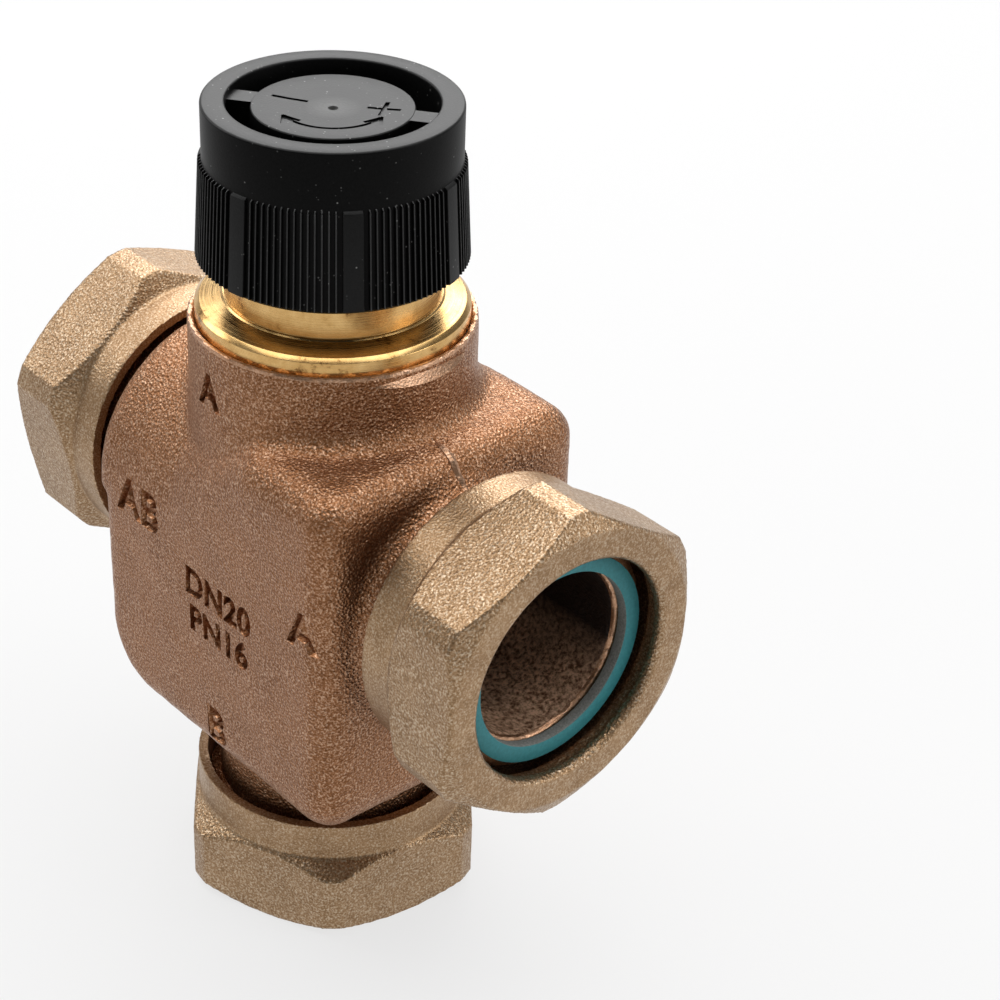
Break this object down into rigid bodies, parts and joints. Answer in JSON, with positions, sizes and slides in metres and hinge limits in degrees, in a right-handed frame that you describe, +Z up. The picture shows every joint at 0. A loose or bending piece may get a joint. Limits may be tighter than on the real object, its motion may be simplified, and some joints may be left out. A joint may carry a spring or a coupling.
{
  "type": "three-port control valve",
  "caption": "Three-port bronze control valve with brass union nuts, flat seals, a turned brass bonnet and a ribbed black adjusting cap over a spring-loaded stem",
  "frame": {"origin": "on the spindle axis, in the outer face of the lower union nut on which the valve stands", "axes": "+Z up along the spindle, +X out of port A, -X out of port AB, -Z out of port B"},
  "size_m": [0.0882, 0.041, 0.1087],
  "materials": {
    "cast_bronze": "shot-blasted",
    "forged_brass": "blasted matte",
    "turned_brass": "turned bright",
    "black_plastic": "satin",
    "fibre_seal": "matte",
    "black_rubber": "matte",
    "stainless_steel": "drawn",
    "white_plastic": "plain"
  },
  "bodies": {
    "body": {"valve_body": "cast_bronze", "seat_ring": "turned_brass", "bonnet": "turned_brass", "bonnet_seal": "fibre_seal", "guide_bush": "white_plastic", "lower_packing_ring": "black_rubber", "packing_washer": "turned_brass", "upper_packing_ring": "black_rubber", "gland_nut": "turned_brass", "spring_washer": "stainless_steel", "return_spring": "stainless_steel"},
    "stem": {"spindle": "stainless_steel", "plug": "turned_brass", "upper_plug_seal": "black_rubber", "lower_plug_seal": "black_rubber", "plug_nut": "stainless_steel", "spring_plate": "stainless_steel", "retaining_ring": "stainless_steel"},
    "cap": {"adjusting_cap": "black_plastic", "thrust_pad": "white_plastic"},
    "seal_a": {"port_seal_a": "fibre_seal"},
    "seal_ab": {"port_seal_ab": "fibre_seal"},
    "seal_b": {"port_seal_b": "fibre_seal"},
    "nut_a": {"union_nut_a": "forged_brass"},
    "nut_ab": {"union_nut_ab": "forged_brass"},
    "nut_b": {"union_nut_b": "forged_brass"}
  },
  "joints": [
    {"name": "stem_slide", "type": "slide", "parent": "body", "child": "stem", "axis": [0, 0, 1], "range_m": [-0.0045, 0], "deforming": ["return_spring"]},
    {"name": "cap_turn", "type": "hinge", "parent": "stem", "child": "cap", "pos_m": [0, 0, 0.1], "axis": [0, 0, 1], "range_deg": [-1080, 0]},
    {"name": "nut_a_slide", "type": "slide", "parent": "body", "child": "seal_a", "axis": [1, 0, 0], "range_m": [0, 0.00693]},
    {"name": "nut_a_turn", "type": "hinge", "parent": "seal_a", "child": "nut_a", "pos_m": [0.0436, 0, 0.0535], "axis": [1, 0, 0], "range_deg": [0, 1080]},
    {"name": "nut_ab_slide", "type": "slide", "parent": "body", "child": "seal_ab", "axis": [-1, 0, 0], "range_m": [0, 0.00693]},
    {"name": "nut_ab_turn", "type": "hinge", "parent": "seal_ab", "child": "nut_ab", "pos_m": [-0.0426, 0, 0.0535], "axis": [-1, 0, 0], "range_deg": [0, 1080]},
    {"name": "nut_b_slide", "type": "slide", "parent": "body", "child": "seal_b", "axis": [0, 0, -1], "range_m": [0, 0.00693]},
    {"name": "nut_b_turn", "type": "hinge", "parent": "seal_b", "child": "nut_b", "pos_m": [0, 0, 0.001], "axis": [0, 0, -1], "range_deg": [0, 1080]}
  ],
  "couplings": [
    {"joint": "cap_turn", "follows": "stem_slide", "rad_per_m": 4188.8},
    {"joint": "nut_a_slide", "follows": "nut_a_turn", "m_per_rad": 0.0003675},
    {"joint": "nut_ab_slide", "follows": "nut_ab_turn", "m_per_rad": 0.0003675},
    {"joint": "nut_b_slide", "follows": "nut_b_turn", "m_per_rad": 0.0003675}
  ]
}
